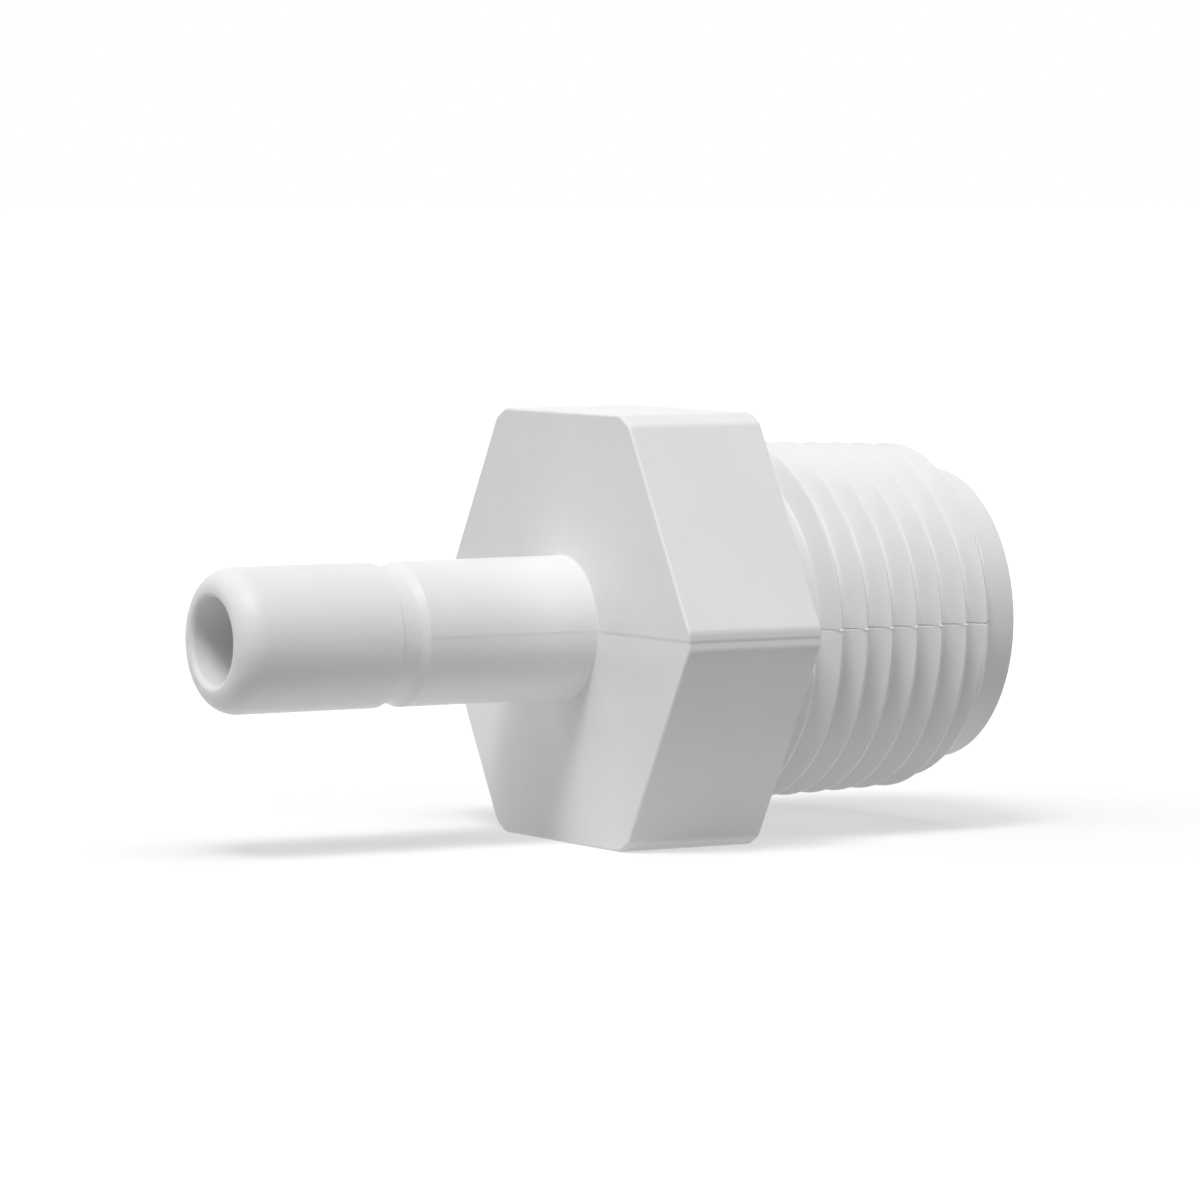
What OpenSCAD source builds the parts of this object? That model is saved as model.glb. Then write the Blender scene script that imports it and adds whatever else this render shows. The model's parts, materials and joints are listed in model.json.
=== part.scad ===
// Stem adapter: a one-piece plastic pipe fitting, in millimetres.
// A plain tube stem, a hexagon for a wrench and a tapered male pipe thread share one flow axis.
// The flow axis is X. The stem points to -X, the thread to +X, and two flats of the hexagon lie level.
// The origin is on the flow axis, at the face of the hexagon that the stem stands on.

/* [Stem] */
// Outer diameter of the stem, the size of tube that it stands in for
stem_d = 6.35; // [5.5:0.05:8]
// Length of the stem, from the hexagon's face to its tip
stem_l = 17.4; // [15:0.05:30]
// Radius of the rounded lip at the tip, outside
lip_r = 1.15; // [0.3:0.05:1.2]
// Diameter of the bore through the stem
stem_bore_d = 3.8; // [2:0.1:4.2]
// Radius of the fillet where the stem meets the hexagon
stem_fillet_r = 0.1; // [0.05:0.05:0.8]

/* [Gripping groove] */
// Length of the plain land in front of the groove, from the tip
land_l = 7.75; // [4:0.05:12]
// Length of the groove's level floor
groove_floor_l = 0.85; // [0.3:0.05:1.5]
// Length of the ramp that leads out of the groove
groove_ramp_l = 0.45; // [0.2:0.05:1]
// Depth of the groove
groove_depth = 0.18; // [0.05:0.01:0.4]

/* [Hexagon] */
// Width of the hexagon across its flats
hex_af = 19.05; // [18:0.05:24]
// Length of the hexagon along the flow axis
hex_t = 6.75; // [5:0.05:12]
// Width of the narrow flat facet down each corner
corner_facet_w = 0.85; // [0.3:0.05:2]
// Width of the chamfer around both ends of the hexagon
hex_chamfer = 0.25; // [0.1:0.05:0.6]

/* [Thread] */
// Distance from one turn of the thread to the next, 19 turns in 25.4 mm
pitch = 1.337; // [1.3:0.001:1.45]
// Diameter over the crests of the thread, where it meets the hexagon
thread_d = 16.2; // [15.5:0.05:17.5]
// Height of the thread, from root to crest
thread_h = 0.9; // [0.6:0.01:0.92]
// Width of the flat along the crest
crest_flat = 0.22; // [0.1:0.01:0.25]
// Angle between the two flanks of the thread
flank_angle = 60; // [50:1:60]
// Taper of the thread: it loses 1 mm of diameter in this length
taper_length = 16; // [12:1:40]
// Length from the hexagon to the open end
thread_l = 12.95; // [11:0.05:20]
// Plain length at the open end that carries no thread
nose_l = 1.3; // [1:0.1:3]
// Diameter of that plain nose
nose_d = 13.2; // [12:0.05:13.6]
// Length over which the last crests run down to the plain nose
run_down_l = 1.05; // [0.3:0.05:1.3]
// Distance from the hexagon to the middle of the first crest, at its start
thread_gap = 1.51; // [1:0.01:2]
// Radius of the rounded rim at the open end
rim_r = 0.15; // [0.1:0.05:0.8]
// Radius of the fillet where the threaded end meets the hexagon
thread_fillet_r = 0.3; // [0.1:0.05:0.5]

/* [Hollow end] */
// Diameter of the bore in the threaded end
core_d = 10.4; // [8:0.1:11]
// Thickness left between the hexagon's face and the narrow end of the funnel
web_t = 2.5; // [1:0.1:4]
// Length of the funnel from the wide bore down to the stem's bore
funnel_l = 2; // [1:0.1:4]
// Radius of the rounding inside the open end
mouth_r = 0.35; // [0.1:0.05:0.6]

/* [Hidden] */

$fn = 96;
turn_facets = 36;                       // flat pieces in one turn of the thread
overlap = 0.1;                          // how far joined solids reach into each other, and cuts run past a face
start_angle = 187;                      // where the thread begins, counted round +X from +Y towards +Z
start_sweep = 10;                       // angle over which the thread rises to its full height
least_h = 0.02;                         // height that the ridge has where it begins and ends

stem_r = stem_d / 2;
stem_bore_r = stem_bore_d / 2;
lip = min(lip_r, stem_r - stem_bore_r - 0.05);   // the lip is rounded no further than the wall allows
core_r = core_d / 2;
nose_r = nose_d / 2;
end_x = hex_t + thread_l;
nose_x = end_x - nose_l;
run_down_x = nose_x - run_down_l;
flank_run = tan(flank_angle / 2);

// Radius at the roots of the thread, at a place along the axis
function root_radius(x) = thread_d / 2 - thread_h - (x - hex_t) / (2 * taper_length);

// Radius of the core there: the roots, then down to the nose over the run-down
function core_radius(x) =
    x < run_down_x
        ? root_radius(x)
        : root_radius(run_down_x) + (nose_r - root_radius(run_down_x)) * (x - run_down_x) / run_down_l;

// Height of the thread's ridge over the core, at a place along the axis and an angle after its start
function ridge_height(x, swept) =
    max(least_h, thread_h * min(1, swept / start_sweep, (nose_x - x) / run_down_l));

// Section of a fillet in a corner at the origin, between surfaces that run to +X and +Y
module fillet_section(r) {
    difference() {
        translate([-overlap, -overlap]) square(r + overlap);
        translate([r, r]) circle(r);
    }
}

// What rounding takes off a section's corner, with the corner at the origin and the section towards -X, -Y
module rounding_cut(r) {
    difference() {
        translate([-r, -r]) square(r + overlap);
        translate([-r, -r]) circle(r);
    }
}

// Turns a section, drawn as radius by distance along the axis, round the flow axis
module turn_on_axis() {
    rotate([0, 90, 0]) rotate_extrude() children();
}

// Section of the saw-tooth groove: a square step behind the land, a level floor and a ramp
module groove_section() {
    step_x = land_l - stem_l;
    polygon([
        [stem_r + overlap, step_x],
        [stem_r - groove_depth, step_x],
        [stem_r - groove_depth, step_x + groove_floor_l],
        [stem_r, step_x + groove_floor_l + groove_ramp_l],
        [stem_r + overlap, step_x + groove_floor_l + groove_ramp_l]
    ]);
}

module stem() {
    turn_on_axis() {
        difference() {
            translate([0, -stem_l]) square([stem_r, stem_l + overlap]);
            translate([stem_r, -stem_l]) mirror([0, 1]) rounding_cut(lip);
            groove_section();
        }
        translate([stem_r, 0]) mirror([0, 1]) fillet_section(stem_fillet_r);
    }
}

// The hexagon with its corners cut to narrow facets, level flats at the top and bottom
module hex_outline() {
    corner_r = hex_af / 2 / cos(30);
    facet_r = corner_r - corner_facet_w / 2 * tan(30);
    intersection() {
        circle(corner_r, $fn = 6);
        rotate(30) circle(facet_r / cos(30), $fn = 6);
    }
}

// One chamfer along an edge of the hexagon's end, for the flat that faces +Y of the outline
module edge_cut() {
    rotate([45, 0, 0])
        cube([hex_af, hex_chamfer * sqrt(2), hex_chamfer * sqrt(2)], center = true);
}

module hexagon() {
    rotate([90, 0, 90]) difference() {
        linear_extrude(hex_t) hex_outline();
        for (side = [0 : 5], z = [0, hex_t])
            rotate(60 * side + 30) translate([0, 0, z]) rotate(-90)
                translate([0, hex_af / 2, 0]) edge_cut();
    }
}

// The tapered core that carries the thread, with the plain nose at its end
module thread_core() {
    turn_on_axis() {
        difference() {
            polygon([
                [0, hex_t - overlap],
                [core_radius(hex_t), hex_t - overlap],
                [core_radius(hex_t), hex_t],
                [core_radius(run_down_x), run_down_x],
                [nose_r, nose_x],
                [nose_r, end_x],
                [0, end_x]
            ]);
            translate([nose_r, end_x]) rounding_cut(rim_r);
        }
        translate([core_radius(hex_t), hex_t]) fillet_section(thread_fillet_r);
    }
}

// The thread's ridge: a tapered right-hand helix whose foot lies inside the core
module thread_ridge() {
    first_x = hex_t + thread_gap;
    steps = floor((nose_x - first_x) / pitch * turn_facets);
    foot = crest_flat / 2 + thread_h * flank_run;
    function point(x, dx, r, angle) = [x + dx, r * cos(angle), r * sin(angle)];
    function ring(swept) =
        let (
            x = first_x + pitch * swept / 360,
            angle = start_angle + swept,
            h = ridge_height(x, swept),
            core = core_radius(x),
            top = foot - h * flank_run
        )
        [
            point(x, -foot, core - overlap, angle),
            point(x, -foot, core, angle),
            point(x, -top, core + h, angle),
            point(x, top, core + h, angle),
            point(x, foot, core, angle),
            point(x, foot, core - overlap, angle)
        ];
    rings = [for (i = [0 : steps]) ring(360 / turn_facets * i)];
    sides = [
        for (i = [0 : steps - 1], k = [0 : 5])
            let (a = 6 * i + k, b = 6 * i + (k + 1) % 6)
            each [[a, b, b + 6], [a, b + 6, a + 6]]
    ];
    ends = [for (k = [1 : 4]) each [[0, k + 1, k], [6 * steps, 6 * steps + k, 6 * steps + k + 1]]];
    polyhedron(points = [for (r = rings) each r], faces = concat(sides, ends), convexity = 10);
}

// The way through: the stem's bore, a funnel and the wide bore of the threaded end
module flow_passage() {
    turn_on_axis() {
        translate([0, -stem_l - overlap]) square([stem_bore_r, stem_l + web_t + 2 * overlap]);
        polygon([
            [0, web_t],
            [stem_bore_r, web_t],
            [core_r, web_t + funnel_l],
            [core_r, end_x + overlap],
            [0, end_x + overlap]
        ]);
        translate([core_r, end_x]) mirror([0, 1]) fillet_section(mouth_r);
    }
}

module adapter_body() {
    color("white") difference() {
        union() {
            stem();
            hexagon();
            thread_core();
            thread_ridge();
        }
        flow_passage();
    }
}

adapter_body();
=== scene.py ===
import bmesh
import bpy
import json
import math
from mathutils import Matrix, Vector


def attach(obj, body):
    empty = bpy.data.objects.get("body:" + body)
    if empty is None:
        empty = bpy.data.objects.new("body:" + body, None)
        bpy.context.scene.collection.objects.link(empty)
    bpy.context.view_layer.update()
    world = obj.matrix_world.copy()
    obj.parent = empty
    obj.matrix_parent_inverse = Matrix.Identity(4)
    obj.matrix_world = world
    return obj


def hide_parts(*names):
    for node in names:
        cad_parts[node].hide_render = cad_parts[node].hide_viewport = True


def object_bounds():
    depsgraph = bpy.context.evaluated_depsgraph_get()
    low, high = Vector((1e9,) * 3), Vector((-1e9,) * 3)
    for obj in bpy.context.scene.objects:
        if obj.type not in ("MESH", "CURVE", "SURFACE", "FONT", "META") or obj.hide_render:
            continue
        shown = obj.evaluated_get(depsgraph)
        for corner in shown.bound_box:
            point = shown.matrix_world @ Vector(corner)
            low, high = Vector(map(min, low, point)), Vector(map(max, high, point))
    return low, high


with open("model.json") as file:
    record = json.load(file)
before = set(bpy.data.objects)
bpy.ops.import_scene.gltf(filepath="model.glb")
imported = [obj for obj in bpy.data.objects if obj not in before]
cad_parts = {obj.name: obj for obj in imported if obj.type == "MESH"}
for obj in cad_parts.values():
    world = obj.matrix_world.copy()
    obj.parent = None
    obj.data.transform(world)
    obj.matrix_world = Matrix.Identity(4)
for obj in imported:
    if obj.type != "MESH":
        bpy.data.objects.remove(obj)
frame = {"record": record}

# Stem adapter, moulded in one piece from white plastic.
# It is modelled in millimetres round the flow axis X, and brought to metres at the end.

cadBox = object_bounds()  # box of the solid, taken before anything is added
perMetre = 1000
columns = 180  # vertices in every ring round the axis
near = 0.001  # how close two places must be to count as one, in mm

mounts = {mount["name"]: mount for mount in frame["record"]["mounts"]}
stemR = mounts["stem"]["dims"]["r_mm"]
stemBoreR = mounts["stem_bore"]["dims"]["r_mm"]
wideBoreR = mounts["hollow_end"]["dims"]["r_mm"]
crestR = mounts["pipe_thread"]["dims"]["r_mm"]
hexLength = 2 * mounts["top_flat"]["pos_m"][0] * perMetre  # the mount lies halfway along the flat
tipX = cadBox[0].x * perMetre
endX = cadBox[1].x * perMetre
flatZ = cadBox[1].z * perMetre


def startEdit(obj):
    bpy.ops.object.select_all(action="DESELECT")
    obj.select_set(True)
    bpy.context.view_layer.objects.active = obj
    bpy.ops.object.mode_set(mode="EDIT")
    bpy.ops.mesh.select_mode(type="VERT")
    bpy.ops.mesh.select_all(action="DESELECT")


def endEdit():
    bpy.ops.object.mode_set(mode="OBJECT")


def pickEdges(obj, wanted):
    # selects the edges for which wanted(edge) is true
    bpy.ops.mesh.select_mode(type="EDGE")
    bpy.ops.mesh.select_all(action="DESELECT")
    shell = bmesh.from_edit_mesh(obj.data)
    for edge in shell.edges:
        edge.select_set(wanted(edge))
    bmesh.update_edit_mesh(obj.data)


def pickFaces(obj, wanted):
    # selects the faces for which wanted(face) is true
    bpy.ops.mesh.select_mode(type="FACE")
    bpy.ops.mesh.select_all(action="DESELECT")
    shell = bmesh.from_edit_mesh(obj.data)
    for face in shell.faces:
        face.select_set(wanted(face))
    bmesh.update_edit_mesh(obj.data)


def liesAt(edge, x):
    return all(abs(vert.co.x - x) < near for vert in edge.verts)


def radiusOf(place):
    return math.hypot(place.y, place.z)


def drawLine(name, points):
    # a chain of edges, drawn point by point out of a single vertex
    bpy.ops.mesh.primitive_plane_add(size=1)
    obj = bpy.context.object
    obj.name = name
    startEdit(obj)
    bpy.ops.mesh.select_all(action="SELECT")
    bpy.ops.mesh.merge(type="CENTER")
    bpy.ops.transform.translate(value=points[0])
    for here, there in zip(points, points[1:]):
        bpy.ops.mesh.extrude_region_move(TRANSFORM_OT_translate={"value": there - here})
    endEdit()
    return obj


def arc(x, radius, size, start, end, steps=5, stretch=1):
    # places (x, radius) on an arc without the first one: its angles are counted from +X outwards,
    # and it may be stretched along X
    turns = [math.radians(start + (end - start) * step / steps) for step in range(1, steps + 1)]
    return [(x + size * stretch * math.cos(turn), radius + size * math.sin(turn)) for turn in turns]


def pullRim(obj, x, radius, path):
    # pulls the open rim at x along a path of (x, radius), one ring at a time
    pickEdges(obj, lambda edge: edge.is_boundary and liesAt(edge, x))
    for nextX, nextRadius in path:
        growth = nextRadius / radius
        bpy.ops.mesh.extrude_region_move(TRANSFORM_OT_translate={"value": (nextX - x, 0, 0)})
        bpy.ops.transform.resize(value=(1, growth, growth), center_override=(nextX, 0, 0))
        x, radius = nextX, nextRadius


# Threaded end: one pitch of the section is drawn, screwed up and tapered

threadShape = {
    "pitch": 1.337,
    "height": 0.9,
    "crestFlat": 0.1,
    "crestRound": 0.08,
    "flankSlope": 60,  # degrees between a flank and the axis
    "flankCuts": (0.33, 0.67),  # places down a flank where it is divided
    "roundSteps": 3,
    "taper": 1 / 32,  # radius lost in each mm of length
    "firstCrest": 1.51,  # from the hexagon to the first crest
    "startAngle": 187,  # where the ridge begins, just under the parting line on the near side
    "riseAngle": 6,
    "runDown": 1.05,
    "neck": 0.3,  # fillet in the corner with the hexagon
    "turns": 10,  # a few more than fit, since both ends are drawn in
    "drawnIn": 0.02,  # what comes this near to an end is drawn onto its ring
}
noseShape = {"length": 1.3, "radius": 6.6, "rim": 0.15, "mouth": 0.35}

neckX = hexLength + threadShape["neck"]
noseX = endX - noseShape["length"]
runDownX = noseX - threadShape["runDown"]
firstX = hexLength + threadShape["firstCrest"]


def rootRadius(x):
    return crestR - threadShape["height"] - (x - hexLength) * threadShape["taper"]


def coreRadius(x):
    # the thread's root, then the run-down to the nose
    if x < runDownX:
        return rootRadius(x)
    share = (x - runDownX) / threadShape["runDown"]
    return rootRadius(runDownX) + (noseShape["radius"] - rootRadius(runDownX)) * share


def threadSection():
    # half a section as (distance from the crest's middle, height over the root)
    slope = math.radians(threadShape["flankSlope"])
    halfPitch = threadShape["pitch"] / 2
    crestHalf = threadShape["crestFlat"] / 2
    height = threadShape["height"]
    crestRound = threadShape["crestRound"]
    steps = threadShape["roundSteps"]
    rootFlat = halfPitch - crestHalf - height / math.tan(slope)
    rootRound = rootFlat / math.tan(slope / 2)
    crestX = crestHalf - crestRound * math.tan(slope / 2)
    turns = [slope * step / steps for step in range(steps + 1)]
    crest = [
        (crestX + crestRound * math.sin(turn), height - crestRound + crestRound * math.cos(turn))
        for turn in turns
    ]
    root = [
        (halfPitch - rootRound * math.sin(turn), rootRound - rootRound * math.cos(turn))
        for turn in reversed(turns)
    ]
    flank = [
        tuple(top + (foot - top) * share for top, foot in zip(crest[-1], root[0]))
        for share in threadShape["flankCuts"]
    ]
    return crest + flank + root


def makeThread():
    half = threadSection()
    section = [(-x, height) for x, height in reversed(half)] + half
    # it is drawn at the +Y side, more than a turn before the first crest
    middle = firstX - threadShape["pitch"] * (360 + threadShape["startAngle"]) / 360
    startRadius = rootRadius(hexLength)
    points = [Vector((middle + x, startRadius + height, 0)) for x, height in section]
    obj = drawLine("mouldedAdapter", points)

    screw = obj.modifiers.new("turns", "SCREW")
    screw.axis = "X"
    screw.angle = math.radians(360)
    screw.screw_offset = threadShape["pitch"]
    screw.iterations = threadShape["turns"]
    screw.steps = columns
    screw.render_steps = columns
    bpy.ops.object.modifier_apply(modifier=screw.name)

    # taper, start and run-down, with what lies past either end drawn onto that end's ring
    for vert in obj.data.vertices:
        x, y, z = vert.co
        angle = math.degrees(math.atan2(z, y)) % 360
        swept = angle - threadShape["startAngle"]
        swept += 360 * round((x - firstX) / threadShape["pitch"] - swept / 360)
        limit = min(1, swept / threadShape["riseAngle"], (noseX - x) / threadShape["runDown"])
        height = min(radiusOf(vert.co) - startRadius, threadShape["height"] * max(0, limit))
        if x < neckX + threadShape["drawnIn"]:
            x = neckX
        if x > noseX - threadShape["drawnIn"]:
            x = noseX
        radius = coreRadius(x) + max(0, height)
        turn = math.radians(angle)
        vert.co = (x, radius * math.cos(turn), radius * math.sin(turn))

    startEdit(obj)
    bpy.ops.mesh.select_all(action="SELECT")
    bpy.ops.mesh.remove_doubles(threshold=near / 2)
    endEdit()
    print("thread screwed up:", len(obj.data.polygons), "faces")
    return obj


# The rest is pulled out of the thread's two rims: nose, passage and stem from one, neck from the other

passageShape = {
    "web": 2.5,  # from the hexagon's face to the funnel's narrow end
    "funnel": 2,
    "easing": 0.25,  # how far both ends of the funnel are eased
    "easedBy": 0.04,  # how far the ring beside each end lies off the bore
}
stemShape = {"lip": 1.15, "boreEdge": 0.25, "fillet": 0.08}
grooveShape = {
    "land": 7.75,
    "depth": 0.18,
    "floor": 0.85,
    "ramp": 0.45,
    "edge": 0.05,
    "draft": 0.01,  # how far the step leans
    "rampFoot": ((-0.1, 0), (0.05, 0.012), (0.12, 0.04)),  # as (past its start, over the floor)
    "rampTop": ((-0.01, -0.004), (0.01, 0)),  # as (past its end, over the stem)
}


def nosePath():
    rim = noseShape["rim"]
    mouth = noseShape["mouth"]
    outer = [(endX - rim, noseShape["radius"])]
    outer += arc(endX - rim, noseShape["radius"] - rim, rim, 90, 0)
    return outer + [(endX, wideBoreR + mouth)] + arc(endX - mouth, wideBoreR + mouth, mouth, 0, -90)


def passagePath():
    # wide bore, funnel and narrow bore
    web = passageShape["web"]
    funnel = passageShape["funnel"]
    easing = passageShape["easing"]
    easedBy = passageShape["easedBy"]
    spread = (wideBoreR - stemBoreR) / funnel
    wide = [
        (web + funnel + easing, wideBoreR),
        (web + funnel + easing / 3, wideBoreR - easedBy),
        (web + funnel - easing / 2, wideBoreR - spread * easing / 2),
    ]
    narrow = [
        (web + easing / 2, stemBoreR + spread * easing / 2),
        (web - easing / 3, stemBoreR + easedBy),
        (web - easing, stemBoreR),
    ]
    return wide + narrow


def tipPath():
    # the tip is rounded a little into the bore, and further back outside
    lip = stemShape["lip"]
    boreEdge = stemShape["boreEdge"]
    rise = stemR - stemBoreR - boreEdge
    tip = [(tipX + boreEdge, stemBoreR)]
    tip += arc(tipX + boreEdge, stemBoreR + boreEdge, boreEdge, 270, 180, steps=7)
    return tip + arc(tipX + lip, stemR - rise, rise, 180, 90, steps=14, stretch=lip / rise)


def groovePath():
    edge = grooveShape["edge"]
    floorR = stemR - grooveShape["depth"]
    stepX = tipX + grooveShape["land"]
    rampX = stepX + grooveShape["floor"]
    rampEnd = rampX + grooveShape["ramp"]
    groove = [(stepX - edge, stemR)]
    groove += arc(stepX - edge, stemR - edge, edge, 90, 0, steps=4)
    groove += [(stepX + grooveShape["draft"], floorR)]
    groove += [(rampX + past, floorR + over) for past, over in grooveShape["rampFoot"]]
    return groove + [(rampEnd + past, stemR + over) for past, over in grooveShape["rampTop"]]


def stemPath():
    fillet = stemShape["fillet"]
    foot = [(-fillet, stemR)] + arc(-fillet, stemR + fillet, fillet, -90, 0, steps=6)
    return tipPath() + groovePath() + foot


def pullBody(obj):
    neck = threadShape["neck"]
    startEdit(obj)
    pullRim(obj, noseX, noseShape["radius"], nosePath() + passagePath() + stemPath())
    neckFillet = arc(neckX, rootRadius(neckX) + neck, neck, 270, 180, steps=6)
    pullRim(obj, neckX, rootRadius(neckX), neckFillet)
    endEdit()
    print("nose, passage and stem pulled out:", len(obj.data.polygons), "faces")


# Hexagon: its six corners are cut to narrow facets and every edge is eased

hexShape = {"facet": 0.85, "longEdge": 0.15, "endEdge": 0.12}


def makeHexagon():
    bpy.ops.mesh.primitive_cylinder_add(
        vertices=6,
        radius=flatZ / math.cos(math.radians(30)),
        depth=hexLength,
        location=(hexLength / 2, 0, 0),
        rotation=(0, math.radians(90), 0),
    )
    obj = bpy.context.object
    bpy.ops.object.transform_apply(location=True, rotation=True, scale=True)
    startEdit(obj)

    def runsAlong(edge):
        return abs(edge.verts[0].co.x - edge.verts[1].co.x) > hexLength / 2

    def boundsEnd(edge):
        return liesAt(edge, 0) or liesAt(edge, hexLength)

    def isEndFace(face):
        return abs(face.normal.x) > 1 - near

    pickEdges(obj, runsAlong)
    bpy.ops.mesh.bevel(offset_type="WIDTH", offset=hexShape["facet"], segments=1, affect="EDGES")
    pickEdges(obj, runsAlong)
    bpy.ops.mesh.bevel(offset_type="OFFSET", offset=hexShape["longEdge"], segments=3, affect="EDGES")
    pickEdges(obj, boundsEnd)
    bpy.ops.mesh.bevel(offset_type="OFFSET", offset=hexShape["endEdge"], segments=5, affect="EDGES")
    pickFaces(obj, isEndFace)
    bpy.ops.mesh.delete(type="FACE")
    endEdit()
    print("hexagon bevelled:", len(obj.data.polygons), "faces")
    return obj


def joinHexagon(obj, hexagon):
    # both ends of the hexagon are filled in between its own rim and the ring of the stem or the neck
    bpy.ops.object.select_all(action="DESELECT")
    hexagon.select_set(True)
    obj.select_set(True)
    bpy.context.view_layer.objects.active = obj
    bpy.ops.object.join()
    startEdit(obj)
    for x in (0, hexLength):
        pickEdges(obj, lambda edge: edge.is_boundary and liesAt(edge, x))
        bpy.ops.mesh.fill(use_beauty=True)
    bpy.ops.mesh.select_all(action="SELECT")
    bpy.ops.mesh.normals_make_consistent(inside=False)
    endEdit()
    print("hexagon joined:", len(obj.data.polygons), "faces")


# Parting line in the plane z = 0, from the groove's ramp to the end of the thread

partingLine = {
    "halfWidth": 0.05,  # a fine groove over the thread
    "depth": 0.06,
    "crestBump": 0.05,
    "crestShare": 0.9,  # the bumps stand on what is higher than this share of the thread
    "stepHalf": 0.07,  # elsewhere the lower half of the mould leaves a small step
    "hexStep": 0.03,
    "stemStep": 0.014,
    "fade": 0.8,
    "skin": 0.5,  # only what lies further out from the bores than this is cut
}


def isOutside(place):
    boreR = stemBoreR if place.x < near else wideBoreR
    return radiusOf(place) > boreR + partingLine["skin"]


def cutAcross(obj, startX, stopX, z):
    # divides the outside faces between two places along the axis, where they cross the height z
    def isCut(face):
        heights = [vert.co.z for vert in face.verts]
        if not min(heights) < z < max(heights):
            return False
        if not startX < face.calc_center_median().x < stopX:
            return False
        return all(isOutside(vert.co) for vert in face.verts)

    pickFaces(obj, isCut)
    bpy.ops.mesh.bisect(plane_co=(0, 0, z), plane_no=(0, 0, 1))


def cutPartingLine(obj):
    lineStart = tipX + grooveShape["land"] + grooveShape["floor"] + grooveShape["ramp"]
    hexEnd = hexLength + near
    halfWidth = partingLine["halfWidth"]
    stepHalf = partingLine["stepHalf"]
    fade = partingLine["fade"]

    def boundsStep(edge):
        ends = [vert.co for vert in edge.verts]
        return all(abs(abs(end.z) - stepHalf) < near and lineStart < end.x < hexEnd for end in ends)

    startEdit(obj)
    for z in (stepHalf, -stepHalf, -stepHalf - fade):
        cutAcross(obj, lineStart, hexEnd, z)
    for z in (0, -halfWidth, halfWidth):
        cutAcross(obj, hexEnd, noseX, z)
    pickEdges(obj, boundsStep)
    bpy.ops.mesh.mark_sharp()
    endEdit()

    crestHeight = threadShape["height"] * partingLine["crestShare"]
    moves = []
    for vert in obj.data.vertices:
        x = vert.co.x
        z = vert.co.z
        if not lineStart + near < x < noseX - near or not isOutside(vert.co):
            continue
        if x < hexEnd:
            # the step goes in over its own width and comes back slowly below
            share = min((stepHalf - z) / (2 * stepHalf), (z + stepHalf + fade) / fade)
            rise = -max(0, share) * partingLine["hexStep" if x > -near else "stemStep"]
        elif abs(z) > near:
            rise = 0
        elif radiusOf(vert.co) > coreRadius(x) + crestHeight:
            rise = partingLine["crestBump"]
        else:
            rise = -partingLine["depth"]
        if rise:
            moves.append((vert, vert.co + vert.normal * rise))
    for vert, place in moves:
        vert.co = place
    print("parting line cut:", len(moves), "places")


def finishMesh(obj):
    smoothAngle = 32
    startEdit(obj)
    bpy.ops.mesh.select_all(action="SELECT")
    bpy.ops.mesh.remove_doubles(threshold=near / 5)
    endEdit()
    bpy.ops.object.shade_smooth_by_angle(angle=math.radians(smoothAngle))
    weights = obj.modifiers.new("even shading", "WEIGHTED_NORMAL")
    weights.keep_sharp = True
    bpy.ops.object.modifier_apply(modifier=weights.name)
    obj.scale = (1 / perMetre,) * 3
    bpy.ops.object.transform_apply(location=True, rotation=True, scale=True)


# White plastic

plasticLook = {
    "darkTone": (0.858, 0.858, 0.8673, 1),
    "lightTone": (0.8888, 0.8888, 0.89385, 1),
    "toneReach": (0.3, 0.7),  # levels of the mottling where the two tones are reached
    "mottle": 260,  # noise scales, per metre
    "grain": 5200,
    "grainHeight": 0.000012,
    "grainStrength": 0.35,
    "smoothest": 0.29,
    "roughest": 0.39,
    "refraction": 1.46,
    "specular": 0.25,
    "scatter": 0.2,
    "scatterDepth": 0.00015,
}


def makePlastic():
    material = bpy.data.materials.new("whitePlastic")
    material.use_nodes = True
    nodes = material.node_tree.nodes
    links = material.node_tree.links
    shader = nodes["Principled BSDF"]
    shader.inputs["IOR"].default_value = plasticLook["refraction"]
    shader.inputs["Specular IOR Level"].default_value = plasticLook["specular"]
    shader.inputs["Subsurface Weight"].default_value = plasticLook["scatter"]
    shader.inputs["Subsurface Radius"].default_value = (1, 1, 1)
    shader.inputs["Subsurface Scale"].default_value = plasticLook["scatterDepth"]
    place = nodes.new("ShaderNodeTexCoord")

    mottle = nodes.new("ShaderNodeTexNoise")
    mottle.inputs["Scale"].default_value = plasticLook["mottle"]
    mottle.inputs["Detail"].default_value = 3
    links.new(place.outputs["Object"], mottle.inputs["Vector"])

    tint = nodes.new("ShaderNodeValToRGB")
    dark, light = tint.color_ramp.elements
    dark.position, light.position = plasticLook["toneReach"]
    dark.color = plasticLook["darkTone"]
    light.color = plasticLook["lightTone"]
    links.new(mottle.outputs["Fac"], tint.inputs["Fac"])
    links.new(tint.outputs["Color"], shader.inputs["Base Color"])

    gloss = nodes.new("ShaderNodeMapRange")
    gloss.inputs["To Min"].default_value = plasticLook["smoothest"]
    gloss.inputs["To Max"].default_value = plasticLook["roughest"]
    links.new(mottle.outputs["Fac"], gloss.inputs["Value"])
    links.new(gloss.outputs["Result"], shader.inputs["Roughness"])

    grain = nodes.new("ShaderNodeTexNoise")
    grain.inputs["Scale"].default_value = plasticLook["grain"]
    grain.inputs["Detail"].default_value = 4
    links.new(place.outputs["Object"], grain.inputs["Vector"])
    relief = nodes.new("ShaderNodeBump")
    relief.inputs["Strength"].default_value = plasticLook["grainStrength"]
    relief.inputs["Distance"].default_value = plasticLook["grainHeight"]
    links.new(grain.outputs["Fac"], relief.inputs["Height"])
    links.new(relief.outputs["Normal"], shader.inputs["Normal"])
    return material


# Studio: a pale floor, a white surround and soft lamps

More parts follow.
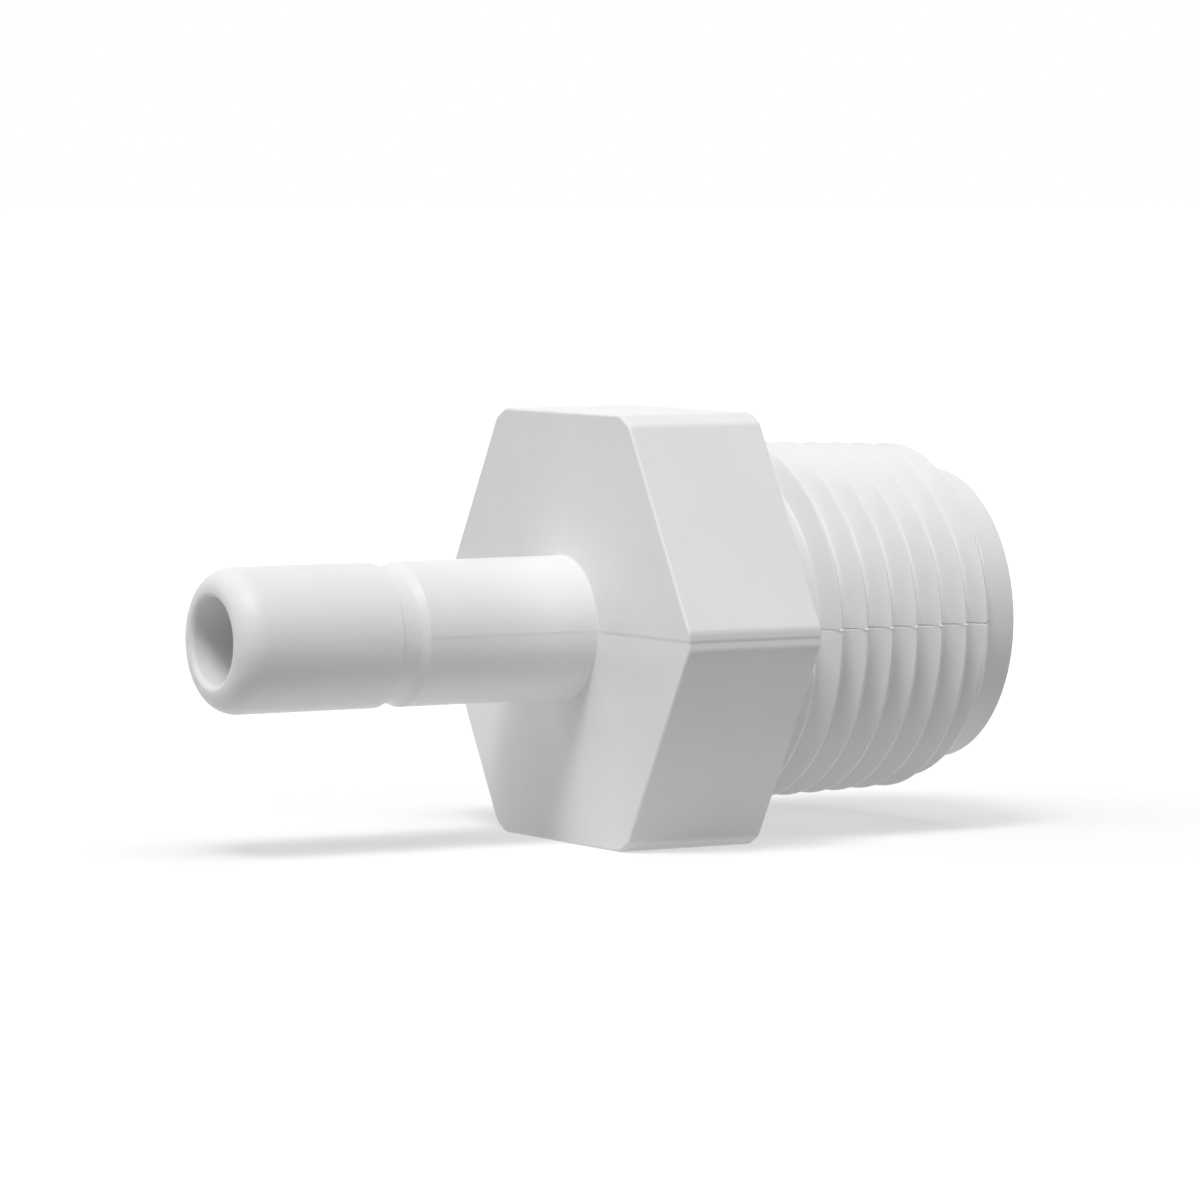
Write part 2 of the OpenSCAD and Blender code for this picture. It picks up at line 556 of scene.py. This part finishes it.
studio = {
    "floorSize": 6,
    "floorSeen": 0.5,  # the floor's colour to the camera, which sees its shadow in it
    "floorBounce": 0.3,  # and its colour to the light that it throws back
    "floorGlow": 0.5,  # near the object, where its shadow falls
    "shadowReach": 0.15,  # past this the camera sees plain white
    "underGlow": 0.39,  # a light table's glow, thrown up at the object
    "underReach": 0.06,
    "surround": 0.03,
}
lamps = [
    {"name": "key", "place": (-0.2, -0.2, 0.5), "size": 0.15, "watts": 1.45},
    {"name": "highFront", "place": (0, -0.2, 0.5), "size": 0.3, "watts": 1.06},
    {"name": "leftTop", "place": (-0.4, -0.05, 0.4), "size": 0.3, "watts": 0.62},
    {"name": "backLeft", "place": (-0.35, 0.3, 0.2), "size": 0.3, "watts": 0.44},
    {"name": "right", "place": (0.5, 0, 0.1), "size": 0.3, "watts": 0.58},
]
camera = {
    "place": (-0.147064, -0.249863, 0.020896),
    "azimuth": -30.818,
    "elevation": 3.886,
    "roll": 0.037,
    "sensor": 36,
    "lens": 197.646,
}


def isSeen(tree):
    # 1 for the rays that may see plain white: from the camera, in a gloss or through glass
    rays = tree.nodes.new("ShaderNodeLightPath")
    both = tree.nodes.new("ShaderNodeMath")
    both.operation = "MAXIMUM"
    tree.links.new(rays.outputs["Is Camera Ray"], both.inputs[0])
    tree.links.new(rays.outputs["Is Glossy Ray"], both.inputs[1])
    every = tree.nodes.new("ShaderNodeMath")
    every.operation = "MAXIMUM"
    tree.links.new(both.outputs["Value"], every.inputs[0])
    tree.links.new(rays.outputs["Is Transmission Ray"], every.inputs[1])
    return every.outputs["Value"]


def fadeOut(tree, distance, reach, middle, edge):
    # a strength that goes smoothly from the middle to an edge at that reach
    fade = tree.nodes.new("ShaderNodeMapRange")
    fade.interpolation_type = "SMOOTHSTEP"
    fade.inputs["From Max"].default_value = reach
    fade.inputs["To Min"].default_value = middle
    fade.inputs["To Max"].default_value = edge
    tree.links.new(distance.outputs["Value"], fade.inputs["Value"])
    return fade.outputs["Result"]


def makeFloor():
    bpy.ops.mesh.primitive_plane_add(size=studio["floorSize"], location=(0, 0, cadBox[0].z))
    floor = bpy.context.object
    floor.name = "floor"
    material = bpy.data.materials.new("paleFloor")
    material.use_nodes = True
    tree = material.node_tree
    shader = tree.nodes["Principled BSDF"]
    shader.inputs["Roughness"].default_value = 1
    shader.inputs["Specular IOR Level"].default_value = 0
    shader.inputs["Emission Color"].default_value = (1, 1, 1, 1)

    place = tree.nodes.new("ShaderNodeTexCoord")
    distance = tree.nodes.new("ShaderNodeVectorMath")
    distance.operation = "LENGTH"
    tree.links.new(place.outputs["Object"], distance.inputs[0])
    table = fadeOut(tree, distance, studio["underReach"], studio["underGlow"], 0)
    backdrop = fadeOut(tree, distance, studio["shadowReach"], studio["floorGlow"], 1)

    # the camera sees the backdrop's glow, and the object gets the light table's
    seen = isSeen(tree)
    colour = tree.nodes.new("ShaderNodeMapRange")
    colour.inputs["To Min"].default_value = studio["floorBounce"]
    colour.inputs["To Max"].default_value = studio["floorSeen"]
    tree.links.new(seen, colour.inputs["Value"])
    tree.links.new(colour.outputs["Result"], shader.inputs["Base Color"])
    glow = tree.nodes.new("ShaderNodeMapRange")
    tree.links.new(table, glow.inputs["To Min"])
    tree.links.new(backdrop, glow.inputs["To Max"])
    tree.links.new(seen, glow.inputs["Value"])
    tree.links.new(glow.outputs["Result"], shader.inputs["Emission Strength"])
    floor.data.materials.append(material)


def makeSurround():
    world = bpy.data.worlds.new("studio")
    bpy.context.scene.world = world
    world.use_nodes = True
    tree = world.node_tree
    shader = tree.nodes["Background"]
    shader.inputs["Color"].default_value = (1, 1, 1, 1)
    level = tree.nodes.new("ShaderNodeMapRange")
    level.inputs["To Min"].default_value = studio["surround"]
    level.inputs["To Max"].default_value = 1
    tree.links.new(isSeen(tree), level.inputs["Value"])
    tree.links.new(level.outputs["Result"], shader.inputs["Strength"])


def makeLamps():
    # every lamp is turned towards the origin
    for lamp in lamps:
        data = bpy.data.lights.new(lamp["name"], "AREA")
        data.shape = "SQUARE"
        data.size = lamp["size"]
        data.energy = lamp["watts"]
        obj = bpy.data.objects.new(lamp["name"], data)
        bpy.context.scene.collection.objects.link(obj)
        obj.location = lamp["place"]
        obj.rotation_euler = (-Vector(lamp["place"])).to_track_quat("-Z", "Y").to_euler()


def makeCamera():
    azimuth = math.radians(camera["azimuth"])
    elevation = math.radians(camera["elevation"])
    back = Vector((
        math.sin(azimuth) * math.cos(elevation),
        -math.cos(azimuth) * math.cos(elevation),
        math.sin(elevation),
    ))
    right = Vector((math.cos(azimuth), math.sin(azimuth), 0))
    turned = Matrix((right, back.cross(right), back)).transposed()
    data = bpy.data.cameras.new("camera")
    data.sensor_width = camera["sensor"]
    data.lens = camera["lens"]
    data.clip_start = 0.01
    data.clip_end = 20
    obj = bpy.data.objects.new("camera", data)
    bpy.context.scene.collection.objects.link(obj)
    obj.rotation_euler = (turned @ Matrix.Rotation(math.radians(camera["roll"]), 3, "Z")).to_euler()
    obj.location = camera["place"]
    bpy.context.scene.camera = obj


adapter = makeThread()
pullBody(adapter)
joinHexagon(adapter, makeHexagon())
cutPartingLine(adapter)
finishMesh(adapter)
adapter.data.materials.append(makePlastic())
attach(adapter, "root")
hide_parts("adapter_body")
print("adapter finished:", len(adapter.data.polygons), "faces")

makeCamera()
makeFloor()
makeSurround()
makeLamps()
bpy.context.scene.view_settings.view_transform = "Standard"
print("studio set up")
